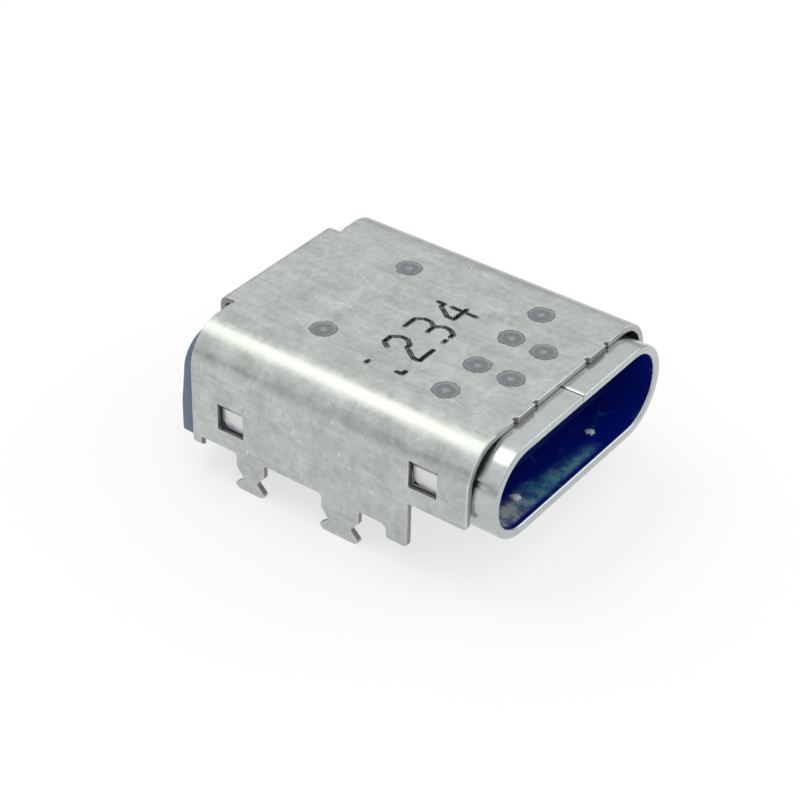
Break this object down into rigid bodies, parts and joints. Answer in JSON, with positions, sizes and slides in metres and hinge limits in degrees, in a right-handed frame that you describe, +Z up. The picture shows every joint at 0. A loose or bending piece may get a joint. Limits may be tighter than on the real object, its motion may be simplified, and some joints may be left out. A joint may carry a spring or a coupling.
{
  "type": "usb-c socket",
  "caption": "Board-mounted USB-C socket: a seamed metal shell round a flat contact tongue, in a folded shield with barbed board locks and a moulded housing behind.",
  "frame": {"origin": "on the board's upper face, in the middle of the width, midway between the front and rear pairs of board locks", "axes": "+Z up from the board, -Y out of the plug mouth, +X to the right when looking into the mouth"},
  "size_m": [0.0094, 0.0119, 0.005],
  "materials": {
    "shield_steel": "satin, bright tin over steel",
    "shell_steel": "smooth bright steel",
    "housing_plastic": "moulded black plastic",
    "tongue_plastic": "moulded black plastic",
    "plate_steel": "stamped steel",
    "contact_metal": "gold-plated copper alloy"
  },
  "bodies": {
    "root": {"shield": "shield_steel", "shell": "shell_steel", "housing": "housing_plastic", "upper_insulator": "tongue_plastic", "lower_insulator": "tongue_plastic", "mid_plate": "plate_steel", "upper_ground_plate": "plate_steel", "lower_ground_plate": "plate_steel", "upper_contact_1": "contact_metal", "upper_contact_2": "contact_metal", "upper_contact_3": "contact_metal", "upper_contact_4": "contact_metal", "upper_contact_5": "contact_metal", "upper_contact_6": "contact_metal", "upper_contact_7": "contact_metal", "upper_contact_8": "contact_metal", "upper_contact_9": "contact_metal", "upper_contact_10": "contact_metal", "upper_contact_11": "contact_metal", "upper_contact_12": "contact_metal", "lower_contact_1": "contact_metal", "lower_contact_2": "contact_metal", "lower_contact_3": "contact_metal", "lower_contact_4": "contact_metal", "lower_contact_5": "contact_metal", "lower_contact_6": "contact_metal", "lower_contact_7": "contact_metal", "lower_contact_8": "contact_metal", "lower_contact_9": "contact_metal", "lower_contact_10": "contact_metal", "lower_contact_11": "contact_metal", "lower_contact_12": "contact_metal"}
  },
  "joints": []
}
